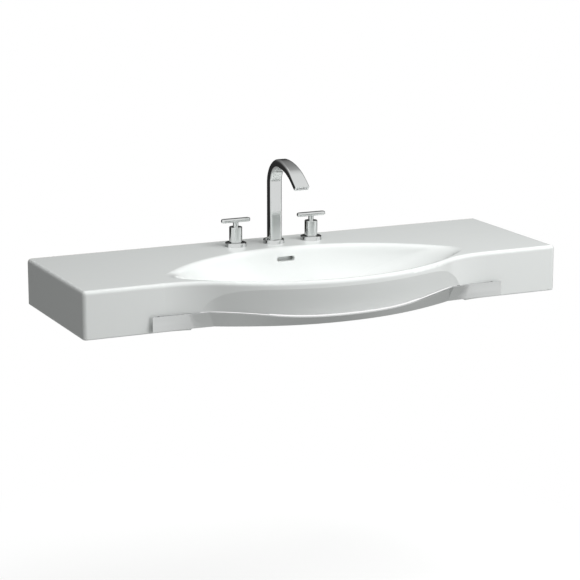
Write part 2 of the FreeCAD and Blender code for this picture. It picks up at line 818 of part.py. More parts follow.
def spout_path():
    """Stations round the spout's bends in the YZ plane: y, z, angle above level and share of the way."""
    column_top = deck_z + spout_column_top
    crown_y = spout_y - spout_back_radius
    crown_z = column_top + spout_back_radius
    stations = [(spout_y, column_top, 90.0, 0.0)]
    for i in range(1, spout_back_steps + 1):
        turn = math.radians(90.0 * i / spout_back_steps)
        stations.append((crown_y + spout_back_radius * math.cos(turn),
                         column_top + spout_back_radius * math.sin(turn), 90.0 - math.degrees(turn),
                         i / spout_back_steps))
    for i in range(1, spout_front_steps + 1):
        turn = math.radians(spout_front_angle * i / spout_front_steps)
        stations.append((crown_y - spout_front_radius * math.sin(turn),
                         crown_z - spout_front_radius * (1 - math.cos(turn)), -math.degrees(turn),
                         1 + i / spout_front_steps))
    slope = math.radians(spout_front_angle)
    last_y, last_z = stations[-1][0], stations[-1][1]
    stations.append((last_y - spout_end_run * math.cos(slope), last_z - spout_end_run * math.sin(slope),
                     -spout_front_angle, 2.0))
    return stations


def between(start, end, share):
    return start + (end - start) * share


def spout_section(y, z, angle, share, inset, tilt=None):
    """Rounded rectangle across the spout at one station."""
    front_share = max(share - 1, 0)
    back_share = min(share, 1)
    thickness = between(between(spout_column_thickness, spout_crown_thickness, back_share),
                        spout_outlet_thickness, front_share) - 2 * inset
    width = between(spout_column_width, spout_outlet_width, front_share) - 2 * inset
    corner = between(spout_column_corner, spout_outlet_corner, front_share)
    corner = max(corner - inset, spout_outlet_corner / 2)
    across = math.radians(angle if tilt is None else tilt)
    normal = vec(0, math.sin(across), math.cos(across))
    half_w, half_t = width / 2, thickness / 2
    centre = vec(0, y, z)

    def place(a, b):
        return centre + ALONG_X * a + normal * b

    cut = corner * (1 - math.sqrt(0.5))
    edges = []
    corners = ((1, 1), (-1, 1), (-1, -1), (1, -1))
    ends = []
    for sx, sn in corners:
        along_side = place(sx * half_w, sn * (half_t - corner))
        mid = place(sx * (half_w - cut), sn * (half_t - cut))
        along_face = place(sx * (half_w - corner), sn * half_t)
        points = (along_side, mid, along_face) if sx * sn > 0 else (along_face, mid, along_side)
        ends.append(points)
    for this, following in zip(ends, ends[1:] + ends[:1]):
        edges.append(Part.Arc(*this).toShape())
        edges.append(Part.LineSegment(this[2], following[0]).toShape())
    return Part.Wire(edges)


def spout_solid(inset, foot_z):
    """Straight column from foot_z, and the bent band that follows it."""
    path = spout_path()
    outlet = path[-1]
    wires = [spout_section(*station, inset) for station in path[:-1]]
    wires.append(spout_section(*outlet, inset, tilt=outlet_face_angle))
    column = Part.Face(spout_section(spout_y, foot_z, 90.0, 0.0, inset)).extrude(UP * (path[0][1] - foot_z))
    return column.fuse(Part.makeLoft(wires, True, False, False, loft_degree))


def spout():
    foot_z = deck_z + ring_floor_top
    outside = spout_solid(0, foot_z)
    inside = spout_solid(spout_wall, foot_z + spout_foot_height)
    mouth = former_solid(overrun, former_length)
    nose = rod(shank_nose_radius + fit_clearance, shank_nose_height + running_clearance,
               vec(0, tap_y, foot_z))
    riser = rod(shank_bore_radius, spout_foot_height + overrun, vec(0, tap_y, foot_z))
    return outside.cut([inside, nose, riser, mouth])


def former_solid(below, above):
    """Flat plug that fills the seat in the mouth of the spout."""
    outlet = spout_path()[-1]
    slope = math.radians(spout_front_angle)
    drop = vec(0, -math.cos(slope), -math.sin(slope))
    wire = spout_section(*outlet, spout_wall - former_seat_depth, tilt=outlet_face_angle)
    start = Part.Face(wire)
    start.translate(drop * below)
    return start.extrude(drop * -(above + below))


def stream_former():
    """Insert in the mouth, with a row of slots that straighten the water."""
    solid = former_solid(0, former_length - fit_clearance)
    outlet = spout_path()[-1]
    slope = math.radians(spout_front_angle)
    back_along = vec(0, math.cos(slope), math.sin(slope))
    usable = spout_outlet_width - 2 * spout_wall - 2 * spout_outlet_corner
    pitch = usable / former_slot_count
    slot_depth = spout_outlet_thickness - 2 * spout_wall - 2 * spout_outlet_corner / 2
    slots = []
    for i in range(former_slot_count):
        x = (i - (former_slot_count - 1) / 2) * pitch
        across = math.radians(outlet_face_angle)
        normal = vec(0, math.sin(across), math.cos(across))
        centre = vec(x, outlet[0], outlet[1])
        foot = centre - normal * (slot_depth / 2) - ALONG_X * (former_slot_width / 2) - back_along * overrun
        side = ALONG_X * former_slot_width
        rise = normal * slot_depth
        face = Part.Face(Part.makePolygon([foot, foot + side, foot + side + rise, foot + rise, foot]))
        slots.append(face.extrude(back_along * (former_length + 2 * overrun)))
    return solid.cut(slots)


def spout_shank():
    """Threaded tube that holds the spout and leads the water up into it."""
    low = deck_z - shank_depth
    shoulder = deck_z + ring_floor_top
    top_z = shoulder + shank_nose_height
    return turned([(shank_bore_radius, low), (barrel_radius, low), (barrel_radius, shoulder),
                   (shank_nose_radius, shoulder), (shank_nose_radius, top_z), (shank_bore_radius, top_z)],
                  0, tap_y)


def inlet_tee():
    """Screwed on the shank's lower end, with a branch to each valve."""
    top_z = deck_z - tee_top_drop
    low = deck_z - tee_depth
    socket_z = deck_z - shank_depth
    body = turned([(0, low), (tee_radius, low), (tee_radius, top_z), (barrel_radius + fit_clearance, top_z),
                   (barrel_radius + fit_clearance, socket_z), (shank_bore_radius, socket_z),
                   (shank_bore_radius, link_z), (0, link_z)], 0, tap_y)
    arms = rod(branch_radius, 2 * branch_reach, vec(-branch_reach, tap_y, link_z), ALONG_X)
    bore = rod(branch_bore_radius, 2 * (branch_reach + overrun), vec(-branch_reach - overrun, tap_y, link_z),
               ALONG_X)
    shaft = rod(barrel_radius + fit_clearance, tee_depth, vec(0, tap_y, socket_z))
    return body.fuse(arms.cut(shaft)).cut(bore).removeSplitter()


def spout_set():
    save(base_ring(0, spout_recess_radius), "spout_base_ring")
    under_deck_clamp(0, "spout")
    save(spout(), "spout_body")
    save(stream_former(), "stream_former")
    save(spout_shank(), "spout_shank")
    save(inlet_tee(), "inlet_tee")


# Push-open waste

def waste_levels():
    """Z of the flange's underside and of the boss's underside."""
    flange_foot = floor_z - drain_seat_depth + waste_seal_thickness
    return flange_foot, floor_z - drain_boss_height


def waste_body():
    """Flanged threaded tube with slots that take the overflow water, and a groove below the nut."""
    flange_foot = waste_levels()[0]
    flange_top = flange_foot + waste_flange_thickness
    low = floor_z - waste_length
    groove_top = waste_levels()[1] - waste_gasket_thickness - waste_nut_height
    groove_foot = groove_top - waste_groove_width
    groove_radius = waste_thread_radius - waste_groove_depth
    body = turned([(waste_bore_radius, low), (waste_thread_radius, low), (waste_thread_radius, groove_foot),
                   (groove_radius, groove_foot), (groove_radius, groove_top),
                   (waste_thread_radius, groove_top), (waste_thread_radius, flange_foot),
                   (waste_flange_radius, flange_foot), (waste_flange_radius, flange_top),
                   (waste_bore_radius, flange_top)], 0, drain_y)
    slot_z = floor_z - bowl_wall - duct_gap
    slots = []
    for i in range(waste_slot_count):
        cutter = block(0, waste_flange_radius, -waste_slot_width / 2, waste_slot_width / 2, 0, duct_gap)
        cutter.rotate(vec(0, 0, 0), UP, 360 * i / waste_slot_count + 180 / waste_slot_count)
        cutter.translate(vec(0, drain_y, slot_z))
        slots.append(cutter)
    return body.cut(slots)


def waste_seals():
    flange_foot, boss_foot = waste_levels()
    seat = floor_z - drain_seat_depth
    bore = waste_thread_radius + fit_clearance
    top = sleeve(waste_flange_radius, bore, flange_foot - seat, vec(0, drain_y, seat))
    gasket_z = boss_foot - waste_gasket_thickness
    low = sleeve(waste_gasket_radius, bore, waste_gasket_thickness, vec(0, drain_y, gasket_z))
    save(top, "waste_flange_seal")
    save(low, "waste_gasket")


def waste_nut():
    boss_foot = waste_levels()[1]
    low = boss_foot - waste_gasket_thickness - waste_nut_height
    bore = waste_thread_radius + fit_clearance
    nut = sleeve(waste_nut_radius, bore, waste_nut_height, vec(0, drain_y, low))
    notches = []
    for i in range(waste_nut_lug_count):
        angle = 2 * math.pi * i / waste_nut_lug_count
        place = vec(waste_nut_radius * math.cos(angle), drain_y + waste_nut_radius * math.sin(angle),
                    low - overrun)
        notches.append(rod(waste_nut_lug_radius, waste_nut_height + 2 * overrun, place))
    return nut.cut(notches)


def waste_guide():
    """Spider in the waste that guides the stem: a rim, three arms and a hub."""
    low = floor_z - guide_drop
    start = vec(0, drain_y, low)
    outer = waste_bore_radius - fit_clearance
    rim = sleeve(outer, outer - guide_rim_width, guide_height, start)
    arms = []
    for i in range(guide_arm_count):
        arm = block(0, outer - guide_rim_width / 2, -guide_arm_width / 2, guide_arm_width / 2,
                    0, guide_height)
        arm.rotate(vec(0, 0, 0), UP, 360 * i / guide_arm_count)
        arm.translate(start)
        arms.append(arm)
    hub = rod(guide_hub_radius, guide_height, start)
    solid = rim.fuse(arms + [hub])
    bore = rod(stem_radius + fit_clearance, guide_height + 2 * overrun, vec(0, drain_y, low - overrun))
    return solid.cut(bore).removeSplitter()


def plug_levels():
    """Z of the cap's underside, which rests just above the flange."""
    return waste_levels()[0] + waste_flange_thickness + running_clearance


def waste_plug():
    """Domed cap with a neck below it that enters the waste and carries the sealing ring."""
    low = plug_levels()
    edge_z = low + plug_thickness - plug_crown
    top_z = low + plug_thickness
    neck_z = low - plug_neck_height
    rim = vec(plug_radius, drain_y, edge_z)
    centre = vec(0, drain_y, top_z)
    crown_radius = (plug_radius ** 2 + plug_crown ** 2) / (2 * plug_crown)
    half = plug_radius / 2
    half_z = top_z - crown_radius + math.sqrt(crown_radius ** 2 - half ** 2)
    corners = [rim, vec(plug_radius, drain_y, low), vec(plug_neck_radius, drain_y, low),
               vec(plug_neck_radius, drain_y, neck_z), vec(0, drain_y, neck_z), centre]
    edges = [Part.Arc(centre, vec(half, drain_y, half_z), rim).toShape()]
    edges += [Part.LineSegment(a, b).toShape() for a, b in zip(corners, corners[1:])]
    return closed_face(edges).revolve(vec(0, drain_y, 0), UP, 360)


def plug_seal():
    """Rubber ring round the neck, just under the cap."""
    low = plug_levels()
    inner = plug_neck_radius + fit_clearance
    outer = waste_bore_radius - running_clearance
    height = 2 * plug_ring_radius
    return sleeve(outer, inner, height, vec(0, drain_y, low - height))


def plug_stem():
    neck_z = plug_levels() - plug_neck_height
    return rod(stem_radius, stem_length, vec(0, drain_y, neck_z - stem_length))


def waste_set():
    save(waste_body(), "waste_body")
    waste_seals()
    save(waste_nut(), "waste_nut")
    save(waste_guide(), "waste_guide")
    save(waste_plug(), "waste_plug")
    save(plug_seal(), "waste_plug_seal")
    save(plug_stem(), "waste_plug_stem")


def main():
    os.makedirs("parts", exist_ok=True)
    save(basin(), "basin")
    save(towel_rail(), "towel_rail")
    rail_fixings()
    valve_set(-1, "hot")
    valve_set(1, "cold")
    spout_set()
    waste_set()


main()
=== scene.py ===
import json
import math

import bmesh
import bpy
from bpy.props import FloatProperty, FloatVectorProperty, IntProperty, PointerProperty
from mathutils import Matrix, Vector


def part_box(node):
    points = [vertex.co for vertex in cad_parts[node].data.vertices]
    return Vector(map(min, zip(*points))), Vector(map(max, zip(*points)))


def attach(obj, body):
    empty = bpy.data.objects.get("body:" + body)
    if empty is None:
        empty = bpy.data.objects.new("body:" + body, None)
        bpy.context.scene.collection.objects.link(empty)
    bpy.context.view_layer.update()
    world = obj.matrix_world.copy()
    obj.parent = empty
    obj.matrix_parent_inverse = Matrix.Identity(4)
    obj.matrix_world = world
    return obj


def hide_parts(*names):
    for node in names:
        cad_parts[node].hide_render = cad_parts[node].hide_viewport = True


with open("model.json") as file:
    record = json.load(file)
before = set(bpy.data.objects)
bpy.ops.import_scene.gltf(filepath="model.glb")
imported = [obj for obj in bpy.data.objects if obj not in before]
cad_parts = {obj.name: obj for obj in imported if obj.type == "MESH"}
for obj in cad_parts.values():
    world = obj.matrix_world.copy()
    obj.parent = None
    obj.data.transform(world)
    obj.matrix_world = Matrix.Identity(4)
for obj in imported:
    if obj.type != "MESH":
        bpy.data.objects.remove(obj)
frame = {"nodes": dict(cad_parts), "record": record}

bl_info = {
    "name": "Bow-front washbasin",
    "version": (1, 0, 0),
    "blender": (4, 5, 0),
    "location": "3D View > Sidebar > Washbasin",
    "description": "Finishes, screw threads and studio for a wall-hung washbasin with a towel rail and taps",
    "category": "Object",
}

NODES = frame["nodes"]
MM = 0.001
SIDES = ("hot", "cold")

CAMERA_PLACE = (-2.05108, -4.57477, 1.05372)
CAMERA_AZIMUTH, CAMERA_ELEVATION = -24.93, 12.79
SENSOR_WIDTH = 36.0
FAR_CLIP = 100.0

# Name, azimuth and elevation of each lamp, in degrees, and the point that all of them light
LAMPS = (("key", 35.0, 60.0), ("side", 70.0, 35.0), ("low", 15.0, 10.0), ("top", 0.0, 88.0))
LAMP_AIM = (0.0, -0.25, 0.0)

# Light of the studio by height, from straight down at 0 to straight up at 1
SHINE_FRONT = ((0.0, 0.45), (0.34, 0.62), (0.37, 0.98), (1.0, 1.0))
SHINE_BACK = ((0.0, 0.09), (0.40, 0.03), (0.61, 0.05), (0.84, 0.34), (0.91, 0.50), (0.95, 0.95))
SOFT_LIGHT = ((0.0, 0.30), (1.0, 0.33))

# Direction in which the bright front lies, and how it passes into the dark back
FRONT_X, FRONT_Y = -0.14, -0.99
BACK_TO_FRONT = ((0.38, 0.0), (0.46, 1.0))

# Extra light of the floor to the camera and to metal, and where it fades to white, as shares of its radius
FLOOR_LIFT = 0.76
FLOOR_SHINE = 0.19
FADE_START_SHARE, FADE_END_SHARE = 0.2, 0.4
FLOOR_SEGMENTS = 96


def colour_property(name, description, default):
    return FloatVectorProperty(name=name, description=description, subtype="COLOR", size=3,
                               min=0.0, max=1.0, default=default)


def length_property(name, description, default):
    return FloatProperty(name=name, description=description, subtype="DISTANCE", unit="LENGTH",
                         default=default)


def power_property(name, description, default):
    return FloatProperty(name=name, description=description, unit="POWER", min=0.0, default=default)


class CeramicSettings(bpy.types.PropertyGroup):
    glaze_colour: colour_property("Glaze", "Colour of the white glaze", (0.825, 0.85, 0.838))
    bare_colour: colour_property("Bare ceramic", "Colour of the unglazed back", (0.74, 0.70, 0.62))
    glaze_roughness: FloatProperty(name="Glaze roughness", description="Roughness of the glaze",
                                   min=0.0, max=1.0, default=0.10)
    glaze_ripple: length_property("Glaze ripple", "Height of the soft waves in the glaze", 0.06 * MM)
    bare_depth: length_property("Bare depth", "Depth of the unglazed strip at the wall", 2.0 * MM)


class MetalSettings(bpy.types.PropertyGroup):
    chrome_colour: colour_property("Chrome", "Reflection colour of the taps", (0.66, 0.675, 0.67))
    rail_colour: colour_property("Rail", "Reflection colour of the towel rail", (0.63, 0.645, 0.64))
    brass_colour: colour_property("Brass", "Reflection colour of turned brass", (0.60, 0.45, 0.22))
    steel_colour: colour_property("Steel", "Reflection colour of plain steel", (0.50, 0.51, 0.52))
    copper_colour: colour_property("Copper", "Reflection colour of the pipes", (0.68, 0.36, 0.23))
    rail_edge: length_property("Rail edge", "Rounding of the rail's edges", 0.45 * MM)
    thread_height: length_property("Thread height", "How far a thread's ridge stands out", 0.30 * MM)
    thread_pitch: length_property("Thread pitch", "Distance from one ridge to the next", 1.8 * MM)


class SoftSettings(bpy.types.PropertyGroup):
    rubber_colour: colour_property("Rubber", "Colour of the seals", (0.022, 0.022, 0.024))
    plastic_colour: colour_property("Plastic", "Colour of the moulded inserts", (0.70, 0.71, 0.71))
    disc_colour: colour_property("Valve disc", "Colour of the ceramic discs", (0.78, 0.75, 0.69))


class StageSettings(bpy.types.PropertyGroup):
    floor_drop: length_property("Floor drop", "Height of the origin above the floor", 0.85)
    floor_radius: length_property("Floor radius", "Radius of the round floor", 2.6)
    floor_colour: colour_property("Floor", "Colour of the floor", (0.36, 0.365, 0.36))
    lamp_size: length_property("Lamp size", "Width of each lamp", 1.4)
    lamp_distance: length_property("Lamp distance", "Distance of each lamp from its aim", 3.0)
    key_power: power_property("Key lamp", "Power of the lamp high at the front right", 48.0)
    side_power: power_property("Side lamp", "Power of the lamp at the right", 12.0)
    low_power: power_property("Low lamp", "Power of the low lamp in front", 20.0)
    top_power: power_property("Top lamp", "Power of the lamp overhead", 24.0)
    lens: FloatProperty(name="Lens", description="Focal length in millimetres", default=129.4)


class WashbasinSettings(bpy.types.PropertyGroup):
    ceramic: PointerProperty(type=CeramicSettings)
    metal: PointerProperty(type=MetalSettings)
    soft: PointerProperty(type=SoftSettings)
    stage: PointerProperty(type=StageSettings)


# Materials

class Graph:
    """A material's node tree, with short calls that add and join nodes."""

    def __init__(self, name):
        self.material = bpy.data.materials.new(name)
        self.material.use_nodes = True
        self.tree = self.material.node_tree
        self.tree.nodes.clear()
        self.output = self.add("ShaderNodeOutputMaterial")
        self.place = self.add("ShaderNodeTexCoord").outputs["Object"]

    def add(self, kind, inputs=None, **settings):
        node = self.tree.nodes.new(kind)
        for key, value in settings.items():
            setattr(node, key, value)
        for key, value in (inputs or {}).items():
            self.feed(node.inputs[key], value)
        return node

    def feed(self, socket, value):
        if isinstance(value, bpy.types.NodeSocket):
            self.tree.links.new(value, socket)
        else:
            socket.default_value = value

    def noise(self, scale, detail=2.0, stretch=(1.0, 1.0, 1.0)):
        """Noise on object coordinates, stretched along the axes."""
        mapping = self.add("ShaderNodeMapping", {"Vector": self.place, "Scale": stretch})
        return self.add("ShaderNodeTexNoise", {"Vector": mapping.outputs["Vector"], "Scale": scale,
                                               "Detail": detail}).outputs["Fac"]

    def between(self, share, low, high):
        """A number that runs from low to high as share goes over the middle of its range."""
        return self.add("ShaderNodeMapRange", {"Value": share, "From Min": 0.3, "From Max": 0.7,
                                               "To Min": low, "To Max": high}).outputs["Result"]

    def tint(self, share, colour, change):
        """A colour that varies a little about the given one."""
        low = tuple(max(c * (1 - change), 0) for c in colour) + (1.0,)
        high = tuple(min(c * (1 + change), 1) for c in colour) + (1.0,)
        mix = self.add("ShaderNodeMix", data_type="RGBA")
        self.feed(mix.inputs["Factor"], share)
        self.feed(mix.inputs[6], low)
        self.feed(mix.inputs[7], high)
        return mix.outputs[2]

    def bump(self, height, distance, strength=1.0):
        return self.add("ShaderNodeBump", {"Height": height, "Distance": distance,
                                           "Strength": strength}).outputs["Normal"]

    def finish(self, inputs):
        shader = self.add("ShaderNodeBsdfPrincipled", inputs)
        self.tree.links.new(shader.outputs["BSDF"], self.output.inputs["Surface"])
        return self.material


def glaze(settings):
    """White glaze over the ceramic, with a bare strip where it stands against the wall."""
    g = Graph("white_glaze")
    clouds = g.noise(3.0, 3.0)
    ripple = g.noise(26.0, 2.0)
    speck = g.noise(420.0, 2.0)
    depth = g.add("ShaderNodeSeparateXYZ", {"Vector": g.place}).outputs["Y"]
    bare = g.add("ShaderNodeMapRange", {"Value": depth, "From Min": -settings.bare_depth,
                                        "From Max": -settings.bare_depth / 2}).outputs["Result"]
    colour = g.add("ShaderNodeMix", data_type="RGBA")
    g.feed(colour.inputs["Factor"], bare)
    g.feed(colour.inputs[6], g.tint(clouds, tuple(settings.glaze_colour), 0.008))
    g.feed(colour.inputs[7], g.tint(speck, tuple(settings.bare_colour), 0.06))
    shine = g.add("ShaderNodeMix", data_type="FLOAT")
    g.feed(shine.inputs["Factor"], bare)
    rough = settings.glaze_roughness
    g.feed(shine.inputs[2], g.between(clouds, rough * 0.85, rough * 1.15))
    g.feed(shine.inputs[3], 0.8)
    return g.finish({"Base Color": colour.outputs[2], "Roughness": shine.outputs[0], "IOR": 1.52,
                     "Normal": g.bump(ripple, settings.glaze_ripple)})


def chrome(name, colour, rough_low, rough_high, stretch, ripple):
    """Polished chrome, with faint polishing marks along the stretched axis."""
    g = Graph(name)
    marks = g.noise(90.0, 3.0, stretch)
    clouds = g.noise(14.0, 2.0)
    return g.finish({"Base Color": g.tint(clouds, tuple(colour), 0.02), "Metallic": 1.0,
                     "Roughness": g.between(marks, rough_low, rough_high),
                     "Normal": g.bump(marks, ripple)})


def turned_metal(name, colour, rough_low, rough_high):
    """Machined metal with fine rings round the vertical and a little tarnish."""
    g = Graph(name)
    rings = g.noise(700.0, 2.0, (0.05, 0.05, 1.0))
    tarnish = g.noise(60.0, 4.0)
    return g.finish({"Base Color": g.tint(tarnish, tuple(colour), 0.12), "Metallic": 1.0,
                     "Roughness": g.between(tarnish, rough_low, rough_high),
                     "Normal": g.bump(rings, 0.02 * MM)})


def moulded(name, colour, rough_low, rough_high, grain, relief):
    """Moulded rubber, plastic or lapped ceramic with a fine grain."""
    g = Graph(name)
    fine = g.noise(grain, 3.0)
    broad = g.noise(45.0, 2.0)
    return g.finish({"Base Color": g.tint(broad, tuple(colour), 0.06),
                     "Roughness": g.between(fine, rough_low, rough_high),
                     "Normal": g.bump(fine, relief)})


def make_materials(settings):
    """One material for each of the record's slots."""
    metal, soft = settings.metal, settings.soft
    even, along_x = (1.0, 1.0, 1.0), (0.02, 1.0, 1.0)
    return {
        "glazed_ceramic": glaze(settings.ceramic),
        "rail_chrome": chrome("rail_chrome", metal.rail_colour, 0.10, 0.20, along_x, 0.01 * MM),
        "tap_chrome": chrome("tap_chrome", metal.chrome_colour, 0.03, 0.07, even, 0.0005 * MM),
        "waste_brass": turned_metal("chromed_waste", metal.chrome_colour, 0.12, 0.25),
        "plain_steel": turned_metal("plain_steel", metal.steel_colour, 0.28, 0.45),
        "tap_brass": turned_metal("turned_brass", metal.brass_colour, 0.24, 0.42),
        "pipe_copper": turned_metal("drawn_copper", metal.copper_colour, 0.20, 0.38),
        "rubber": moulded("seal_rubber", soft.rubber_colour, 0.55, 0.75, 900.0, 0.03 * MM),
        "white_plastic": moulded("moulded_plastic", soft.plastic_colour, 0.35, 0.50, 600.0, 0.01 * MM),
        "disc_ceramic": moulded("lapped_ceramic", soft.disc_colour, 0.30, 0.42, 1200.0, 0.005 * MM),
    }


def slot_material(name):
    """The material of a slot, made on first use."""
    settings = bpy.context.scene.washbasin
    known = {m.get("slot"): m for m in bpy.data.materials if m.get("slot")}
    if not known:
        for slot, material in make_materials(settings).items():
            material["slot"] = slot
            known[slot] = material
    return known[name]


SLOT_OF = {part["node"]: part["material_slot"] for part in frame["record"]["subparts"]}


def dress(*names):
    """Give these nodes the material of their slot."""
    for name in names:
        materials = NODES[name].data.materials
        materials.clear()
        materials.append(slot_material(SLOT_OF[name]))


def body_of(node):
    return next(body for body, members in frame["record"]["behaviour"]["bodies"].items() if node in members)


# Pieces

def place_piece(name, mesh, node, replace=False):
    """Link a finished mesh as a piece that rides with the node's body and has its finish."""
    piece = bpy.data.objects.new(name, mesh)
    bpy.context.scene.collection.objects.link(piece)
    mesh.materials.clear()
    mesh.materials.append(slot_material(SLOT_OF[node]))
    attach(piece, body_of(node))
    if replace:
        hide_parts(node)
    return piece


def evaluated_mesh(piece):
    """The piece's mesh with its modifiers applied."""
    depsgraph = bpy.context.evaluated_depsgraph_get()
    return bpy.data.meshes.new_from_object(piece.evaluated_get(depsgraph), depsgraph=depsgraph)


def rounded_copy(node, width, segments=2, angle=8.0):
    """The node's mesh with its folds and edges rounded, in place of the node."""
    form = bmesh.new()
    form.from_mesh(NODES[node].data)
    bmesh.ops.remove_doubles(form, verts=form.verts, dist=0.002 * MM)
    bmesh.ops.dissolve_limit(form, angle_limit=math.radians(0.05), verts=form.verts, edges=form.edges)
    for face in form.faces:
        face.smooth = True
    for edge in form.edges:
        edge.smooth = edge.calc_face_angle(0) < math.radians(angle)
    mesh = bpy.data.meshes.new(node + "_form")
    form.to_mesh(mesh)
    form.free()
    blank = bpy.data.objects.new(node + "_form", mesh)
    bpy.context.scene.collection.objects.link(blank)
    bevel = blank.modifiers.new("edge", "BEVEL")
    bevel.width = width
    bevel.segments = segments
    bevel.limit_method = "ANGLE"
    bevel.angle_limit = math.radians(angle)
    bevel.harden_normals = True
    finished = evaluated_mesh(blank)
    bpy.data.objects.remove(blank)
    return place_piece(node + "_rounded", finished, node, replace=True)


def thread_tree():
    """Geometry Nodes: a helical ridge round the vertical, from named sizes."""
    tree = bpy.data.node_groups.new("screw_thread", "GeometryNodeTree")
    face = tree.interface
    for name, kind in (("Radius", "NodeSocketFloat"), ("Length", "NodeSocketFloat"),
                       ("Pitch", "NodeSocketFloat"), ("Ridge", "NodeSocketFloat"),
                       ("Foot", "NodeSocketVector"), ("Material", "NodeSocketMaterial")):
        face.new_socket(name=name, in_out="INPUT", socket_type=kind)
    face.new_socket(name="Geometry", in_out="OUTPUT", socket_type="NodeSocketGeometry")
    nodes, link = tree.nodes, tree.links.new
    given = nodes.new("NodeGroupInput").outputs
    turns = nodes.new("ShaderNodeMath")
    turns.operation = "DIVIDE"
    link(given["Length"], turns.inputs[0])
    link(given["Pitch"], turns.inputs[1])
    spiral = nodes.new("GeometryNodeCurveSpiral")
    spiral.inputs["Resolution"].default_value = 40
    link(turns.outputs[0], spiral.inputs["Rotations"])
    link(given["Radius"], spiral.inputs["Start Radius"])
    link(given["Radius"], spiral.inputs["End Radius"])
    link(given["Length"], spiral.inputs["Height"])
    profile = nodes.new("GeometryNodeCurvePrimitiveCircle")
    profile.inputs["Resolution"].default_value = 6
    link(given["Ridge"], profile.inputs["Radius"])
    sweep = nodes.new("GeometryNodeCurveToMesh")
    sweep.inputs["Fill Caps"].default_value = True
    link(spiral.outputs["Curve"], sweep.inputs["Curve"])
    link(profile.outputs["Curve"], sweep.inputs["Profile Curve"])
    move = nodes.new("GeometryNodeTransform")
    link(sweep.outputs["Mesh"], move.inputs["Geometry"])
    link(given["Foot"], move.inputs["Translation"])
    real = nodes.new("GeometryNodeRealizeInstances")
    link(move.outputs["Geometry"], real.inputs["Geometry"])
    paint = nodes.new("GeometryNodeSetMaterial")
    link(real.outputs["Geometry"], paint.inputs["Geometry"])
    link(given["Material"], paint.inputs["Material"])
    out = nodes.new("NodeGroupOutput")
    link(paint.outputs["Geometry"], out.inputs["Geometry"])
    return tree


def screw_thread(name, node, radius, low, high):
    """A thread's ridge on a plain cylinder of the node, from low to high, about the node's own axis."""
    metal = bpy.context.scene.washbasin.metal
    tree = bpy.data.node_groups.get("screw_thread") or thread_tree()
    ids = {item.name: item.identifier for item in tree.interface.items_tree if item.in_out == "INPUT"}
    lowest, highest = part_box(node)
    blank = bpy.data.objects.new(name, bpy.data.meshes.new(name))
    bpy.context.scene.collection.objects.link(blank)
    ridge = blank.modifiers.new("thread", "NODES")
    ridge.node_group = tree
    ridge[ids["Radius"]] = radius
    ridge[ids["Length"]] = high - low
    ridge[ids["Pitch"]] = metal.thread_pitch
    ridge[ids["Ridge"]] = metal.thread_height
    ridge[ids["Foot"]] = (axis_x(node), (lowest.y + highest.y) / 2, low)
    ridge[ids["Material"]] = slot_material(SLOT_OF[node])
    mesh = evaluated_mesh(blank)
    bpy.data.objects.remove(blank)
    return place_piece(name, mesh, node)


def axis_x(node):
    """X of the axis of a tap or waste piece, from the clamping nut or the piece itself."""
    side = node.split("_")[0]
    lowest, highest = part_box(side + "_nut" if side in SIDES else node)
    return (lowest.x + highest.x) / 2


# Operators

class WASHBASIN_OT_ceramic(bpy.types.Operator):
    """Glaze the ceramic basin"""
    bl_idname = "washbasin.ceramic"
    bl_label = "Ceramic basin"

    def execute(self, context):
        dress("basin")
        return {"FINISHED"}


class WASHBASIN_OT_towel_rail(bpy.types.Operator):
    """Round the towel rail's edges and finish its fixings"""
    bl_idname = "washbasin.towel_rail"
    bl_label = "Towel rail"

    def execute(self, context):
        rounded_copy("towel_rail", context.scene.washbasin.metal.rail_edge)
        dress("rail_studs", "rail_spacers", "rail_washers", "rail_nuts")
        return {"FINISHED"}


class WASHBASIN_OT_handles(bpy.types.Operator):
    """Finish both handles and the valves below them"""
    bl_idname = "washbasin.handles"
    bl_label = "Handles and valves"

    def execute(self, context):
        for side in SIDES:
            dress(*[node for node in NODES if node.startswith(side + "_")])
        return {"FINISHED"}


class WASHBASIN_OT_spout(bpy.types.Operator):
    """Finish the spout and what holds and feeds it"""
    bl_idname = "washbasin.spout"
    bl_label = "Spout"

    def execute(self, context):
        dress(*[node for node in NODES if node.startswith("spout_")], "stream_former", "inlet_tee")
        return {"FINISHED"}


class WASHBASIN_OT_waste(bpy.types.Operator):
    """Finish the push-open waste"""
    bl_idname = "washbasin.waste"
    bl_label = "Waste"

    def execute(self, context):
        dress(*[node for node in NODES if node.startswith("waste_")])
        return {"FINISHED"}


class WASHBASIN_OT_threads(bpy.types.Operator):
    """Cut the threads that show below the basin"""
    bl_idname = "washbasin.threads"
    bl_label = "Screw threads"

    def execute(self, context):
        metal = context.scene.washbasin.metal
        mounts = {mount["name"]: mount for mount in frame["record"]["mounts"]}
        for side in SIDES:
            node = side + "_valve_body"
            thread = mounts[side + "_inlet"]["dims"]
            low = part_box(node)[0].z + metal.thread_pitch / 2
            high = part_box(node)[0].z + thread["length_mm"] * MM - metal.thread_pitch / 2
            screw_thread(side + "_inlet_thread", node, thread["r_mm"] * MM, low, high)
        thread = mounts["waste_outlet"]["dims"]
        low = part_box("waste_body")[0].z + metal.thread_pitch / 2
        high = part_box("waste_body")[0].z + thread["length_mm"] * MM - metal.thread_pitch / 2
        screw_thread("waste_outlet_thread", "waste_body", thread["r_mm"] * MM, low, high)
        return {"FINISHED"}


# Stage

